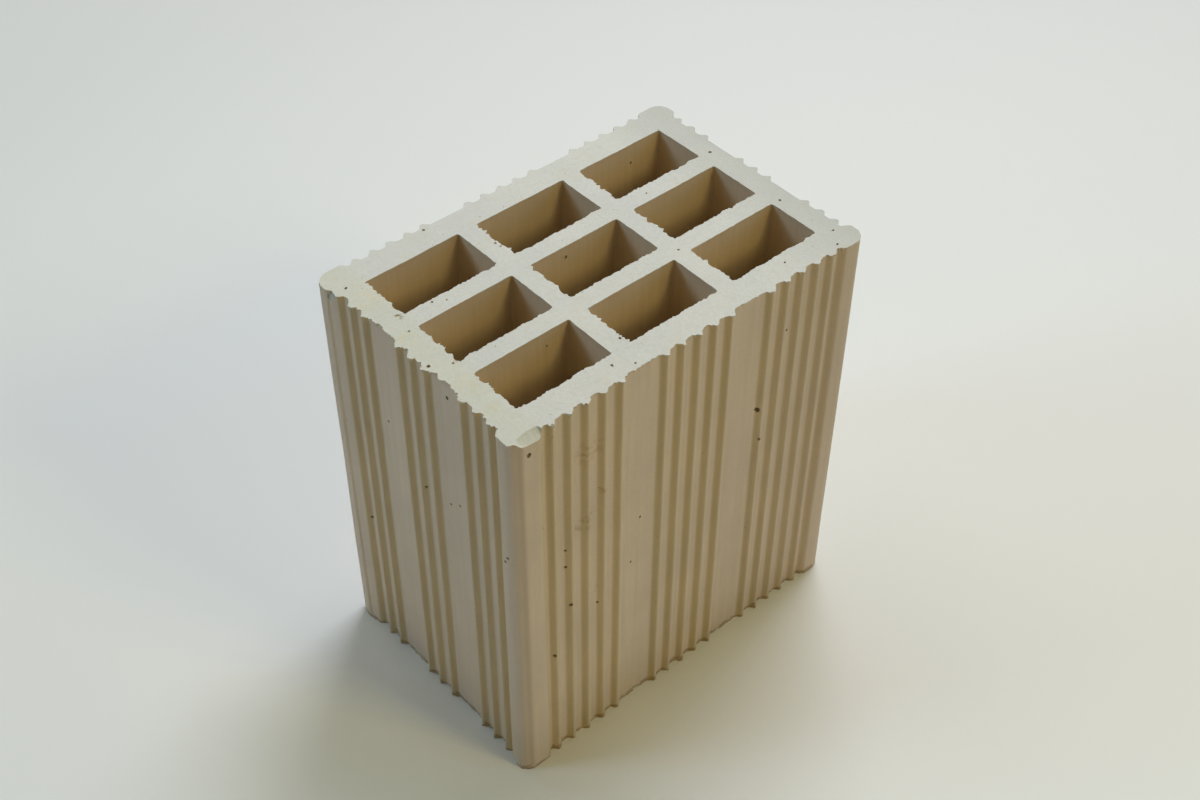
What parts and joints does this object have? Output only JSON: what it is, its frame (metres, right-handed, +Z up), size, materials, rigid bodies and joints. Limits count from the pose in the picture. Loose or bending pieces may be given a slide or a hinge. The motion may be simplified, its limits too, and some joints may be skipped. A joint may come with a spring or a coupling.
{
  "type": "hollow clay block",
  "caption": "Extruded fired clay building block with a grid of rectangular through cells and ribbed sides that key plaster.",
  "frame": {"origin": "middle of the underside, where the block rests", "axes": "+Z up along the cells, +X along the long side, +Y along the short side"},
  "size_m": [0.224, 0.15, 0.245],
  "materials": {
    "fired_clay": "matte buff fired clay, fine open grain, paler on the wire-cut ends"
  },
  "bodies": {
    "root": {"clay_block": "fired_clay"}
  },
  "joints": []
}
